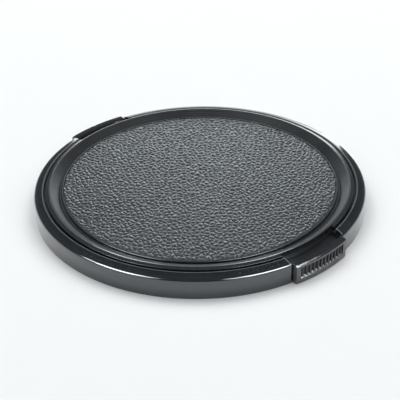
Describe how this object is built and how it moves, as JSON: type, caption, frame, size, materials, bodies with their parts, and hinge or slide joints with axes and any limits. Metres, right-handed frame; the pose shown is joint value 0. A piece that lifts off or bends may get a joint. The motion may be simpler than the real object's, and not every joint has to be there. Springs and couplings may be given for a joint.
{
  "type": "camera lens cap",
  "caption": "Round clip-on lens cap with a grained face, a raised ring and sprung pinch tabs on opposite sides whose jaws clip into a lens's filter thread.",
  "frame": {"origin": "centre of the skirt's lower edge, on the surface that the cap lies on", "axes": "+Z out of the grained face, +X towards the right tab along the tabs' slides"},
  "size_m": [0.0802, 0.078, 0.0061],
  "materials": {
    "cover": "gloss black moulding",
    "plate": "satin black moulding",
    "tabs": "gloss black moulding",
    "springs": "bright spring wire"
  },
  "bodies": {
    "cover": {"front_cover": "cover", "back_plate": "plate", "spring_right": "springs", "spring_left": "springs"},
    "right_tab": {"tab_right": "tabs"},
    "left_tab": {"tab_left": "tabs"}
  },
  "joints": [
    {"name": "right_tab_slide", "type": "slide", "parent": "cover", "child": "right_tab", "axis": [-1, 0, 0], "range_m": [0, 0.002], "stiffness_N_per_m": 500, "deforming": ["spring_right"]},
    {"name": "left_tab_slide", "type": "slide", "parent": "cover", "child": "left_tab", "axis": [1, 0, 0], "range_m": [0, 0.002], "stiffness_N_per_m": 500, "deforming": ["spring_left"]}
  ]
}
